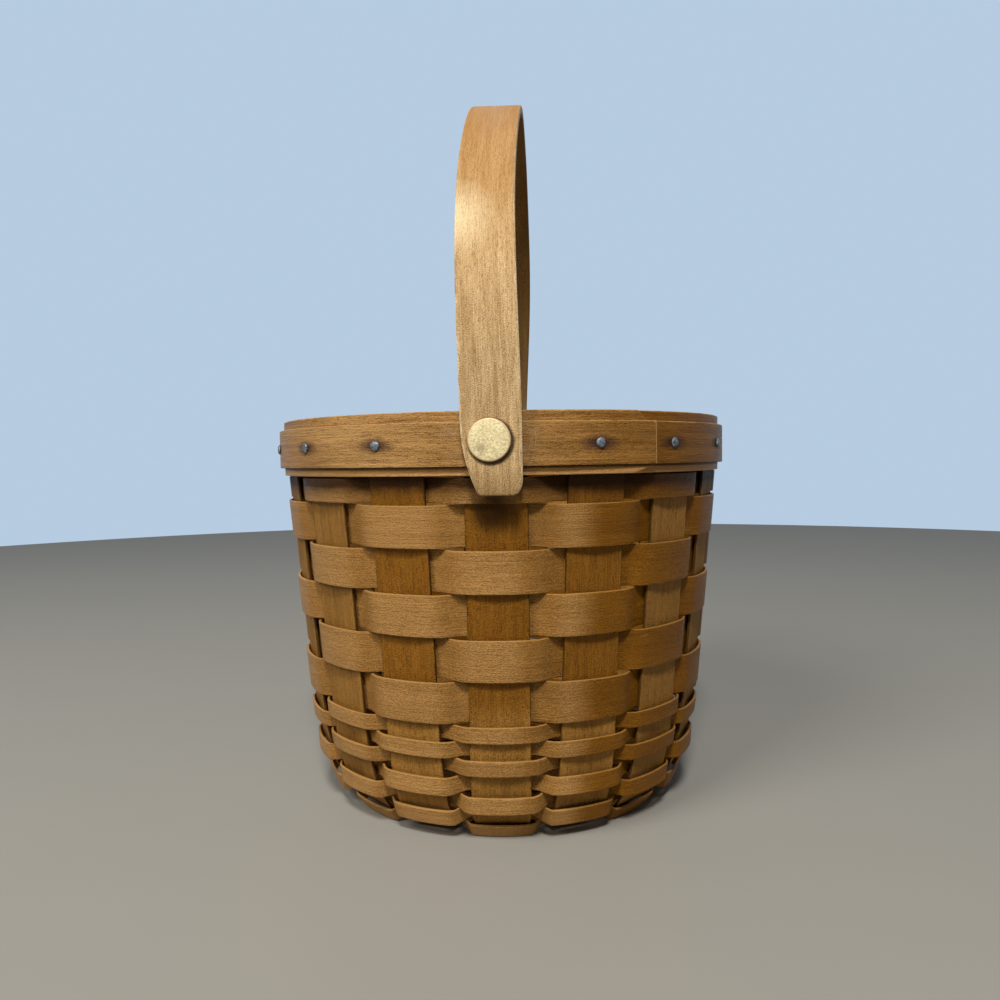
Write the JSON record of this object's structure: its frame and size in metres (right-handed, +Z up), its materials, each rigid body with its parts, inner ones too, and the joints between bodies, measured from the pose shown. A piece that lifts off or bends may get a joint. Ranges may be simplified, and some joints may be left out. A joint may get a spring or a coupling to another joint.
{
  "type": "round basket",
  "caption": "Round basket of woven wood splints, open at the top, with a clamped rim and a bentwood handle that swings on rivets.",
  "frame": {"origin": "centre of the base, on the surface that the basket stands on", "axes": "+Z up along the basket's axis; the handle's arch spans Y, with one leg at the front (-Y) and one at the back (+Y); +X is to the right seen from the front"},
  "size_m": [0.1686, 0.1764, 0.2543],
  "materials": {
    "upright_wood": "satin",
    "weaver_wood": "satin",
    "rim_wood": "satin",
    "handle_wood": "satin",
    "brass": "aged satin",
    "steel": "darkened"
  },
  "bodies": {
    "basket": {"splint_1": "upright_wood", "splint_2": "upright_wood", "splint_3": "upright_wood", "splint_4": "upright_wood", "splint_5": "upright_wood", "splint_6": "upright_wood", "splint_7": "upright_wood", "splint_8": "upright_wood", "weaver_01": "weaver_wood", "weaver_02": "weaver_wood", "weaver_03": "weaver_wood", "weaver_04": "weaver_wood", "weaver_05": "weaver_wood", "weaver_06": "weaver_wood", "weaver_07": "weaver_wood", "weaver_08": "weaver_wood", "weaver_09": "weaver_wood", "weaver_10": "weaver_wood", "weaver_11": "weaver_wood", "weaver_12": "weaver_wood", "weaver_13": "weaver_wood", "weaver_14": "weaver_wood", "weaver_15": "weaver_wood", "weaver_16": "weaver_wood", "weaver_17": "weaver_wood", "outer_band": "rim_wood", "trim_band": "rim_wood", "inner_band": "rim_wood", "rivet_front": "brass", "rivet_back": "brass", "washer_front": "brass", "washer_back": "brass", "tack_01": "steel", "tack_02": "steel", "tack_03": "steel", "tack_04": "steel", "tack_05": "steel", "tack_06": "steel", "tack_07": "steel", "tack_08": "steel", "tack_09": "steel", "tack_10": "steel", "tack_11": "steel", "tack_12": "steel", "tack_13": "steel", "tack_14": "steel"},
    "handle": {"handle": "handle_wood"}
  },
  "joints": [
    {"name": "handle_swing", "type": "hinge", "parent": "basket", "child": "handle", "pos_m": [0, 0, 0.1278], "axis": [0, 1, 0], "range_deg": [-133, 133]}
  ]
}
